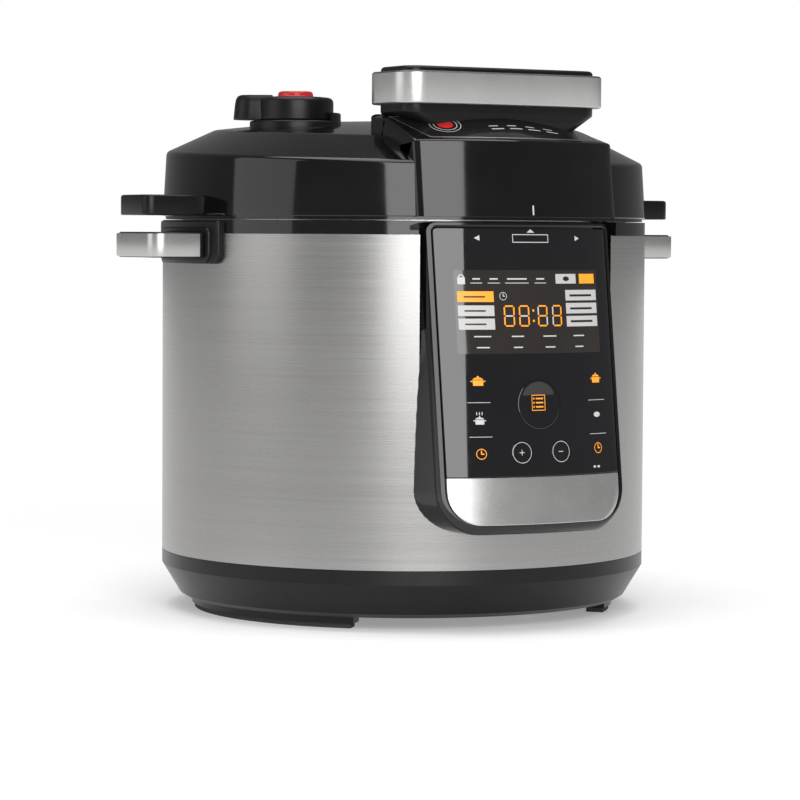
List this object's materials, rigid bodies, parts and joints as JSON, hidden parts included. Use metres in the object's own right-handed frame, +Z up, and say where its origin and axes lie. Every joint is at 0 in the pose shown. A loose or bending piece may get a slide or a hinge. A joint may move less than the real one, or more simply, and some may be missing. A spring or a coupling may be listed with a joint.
{
  "type": "electric pressure cooker",
  "caption": "Countertop electric pressure cooker with a turn-and-lift lid, steam valve, side grips, a leaning control panel and a removable pot.",
  "frame": {"origin": "on the body's vertical axis at the level of the table, under the middle of the whole object", "axes": "+Z up, the control panel faces -Y, +X towards the right-hand side grip as seen from the front"},
  "size_m": [0.358, 0.3249, 0.32],
  "materials": {
    "black_plastic": "satin",
    "gloss_black": "high gloss",
    "brushed_stainless": "fine horizontal brushing",
    "silver_band": "satin silver",
    "inner_steel": "pressed, satin",
    "rubber_feet": "matt",
    "silicone": "matt, slightly translucent",
    "red_plastic": "gloss",
    "heater_alloy": "cast",
    "zinc_steel": "zinc plated",
    "circuit_board": "solder mask",
    "component_black": "matt",
    "component_white": "ceramic white",
    "copper_winding": "lacquered",
    "pin_metal": "nickel plated",
    "wire_sleeve": "matt",
    "insulation_felt": "felt",
    "pot_coating": "non-stick coating",
    "smoke_plastic": "translucent smoke"
  },
  "bodies": {
    "cooker_body": {"base_housing": "black_plastic", "foot_pads": "rubber_feet", "base_screws": "zinc_steel", "base_posts": "zinc_steel", "outer_shell": "brushed_stainless", "top_collar": "gloss_black", "handle_bracket_left": "black_plastic", "handle_bracket_right": "black_plastic", "handle_core_left": "black_plastic", "handle_core_right": "black_plastic", "handle_band_left": "silver_band", "handle_band_right": "silver_band", "handle_screws": "zinc_steel", "outer_pot": "inner_steel", "insulation_wrap": "insulation_felt", "heating_plate": "heater_alloy", "thermostat": "component_white", "thermal_fuse": "component_white", "pressure_switch": "component_black", "sensor_bracket": "zinc_steel", "sensor_spring": "zinc_steel", "power_board": "circuit_board", "relay": "component_black", "transformer": "copper_winding", "power_inlet": "black_plastic", "inlet_pins": "pin_metal", "wiring_loom": "wire_sleeve", "panel_housing": "gloss_black", "panel_glass": "gloss_black", "panel_trim": "silver_band", "display_module": "component_black", "control_board": "circuit_board", "tact_switches": "component_white", "inner_pot": "pot_coating", "cup_bracket": "black_plastic"},
    "seal_carrier": {"sealing_ring": "silicone"},
    "lid": {"lid_cover": "gloss_black", "lid_steel": "inner_steel", "seal_retainer": "zinc_steel", "lid_ear_left": "black_plastic", "lid_ear_right": "black_plastic", "hub_housing": "gloss_black", "hub_plate": "gloss_black", "handle_base": "black_plastic", "handle_band": "silver_band", "handle_cap": "black_plastic", "valve_collar": "black_plastic", "valve_pipe": "zinc_steel", "float_seal": "silicone", "anti_block_cap": "inner_steel", "lid_screws": "zinc_steel"},
    "valve_knob": {"valve_knob": "black_plastic", "release_spring": "zinc_steel"},
    "release_button": {"release_button": "red_plastic"},
    "float_pin": {"float_pin": "pin_metal"},
    "menu_key": {"menu_key": "gloss_black"},
    "hours_key": {"hours_key": "gloss_black"},
    "minutes_key": {"minutes_key": "gloss_black"},
    "sensor": {"sensor_cap": "heater_alloy"},
    "cup": {"condensate_cup": "smoke_plastic"}
  },
  "joints": [
    {"name": "lid_lift", "type": "slide", "parent": "cooker_body", "child": "seal_carrier", "axis": [0, 0, 1], "range_m": [0, 0.22]},
    {"name": "lid_turn", "type": "hinge", "parent": "seal_carrier", "child": "lid", "pos_m": [0, 0, 0.25], "axis": [0, 0, 1], "range_deg": [0, 30]},
    {"name": "valve_turn", "type": "hinge", "parent": "lid", "child": "valve_knob", "pos_m": [-0.06826, 0.01008, 0.295], "axis": [0, 0, 1], "range_deg": [0, 35]},
    {"name": "release_press", "type": "slide", "parent": "valve_knob", "child": "release_button", "axis": [0, 0, -1], "range_m": [0, 0.0025], "stiffness_N_per_m": 500, "springref_m": -0.003, "deforming": ["release_spring"]},
    {"name": "float_rise", "type": "slide", "parent": "lid", "child": "float_pin", "axis": [0, 0, 1], "range_m": [0, 0.004]},
    {"name": "menu_press", "type": "slide", "parent": "cooker_body", "child": "menu_key", "axis": [0, 0.9932, -0.1167], "range_m": [0, 0.0006], "stiffness_N_per_m": 900, "springref_m": -0.0006},
    {"name": "hours_press", "type": "slide", "parent": "cooker_body", "child": "hours_key", "axis": [0, 0.9932, -0.1167], "range_m": [0, 0.0006], "stiffness_N_per_m": 900, "springref_m": -0.0006},
    {"name": "minutes_press", "type": "slide", "parent": "cooker_body", "child": "minutes_key", "axis": [0, 0.9932, -0.1167], "range_m": [0, 0.0006], "stiffness_N_per_m": 900, "springref_m": -0.0006},
    {"name": "sensor_press", "type": "slide", "parent": "cooker_body", "child": "sensor", "axis": [0, 0, -1], "range_m": [0, 0.0015], "stiffness_N_per_m": 600, "springref_m": -0.003, "deforming": ["sensor_spring"]},
    {"name": "cup_slide", "type": "slide", "parent": "cooker_body", "child": "cup", "axis": [0, 1, 0], "range_m": [0, 0.05]}
  ]
}
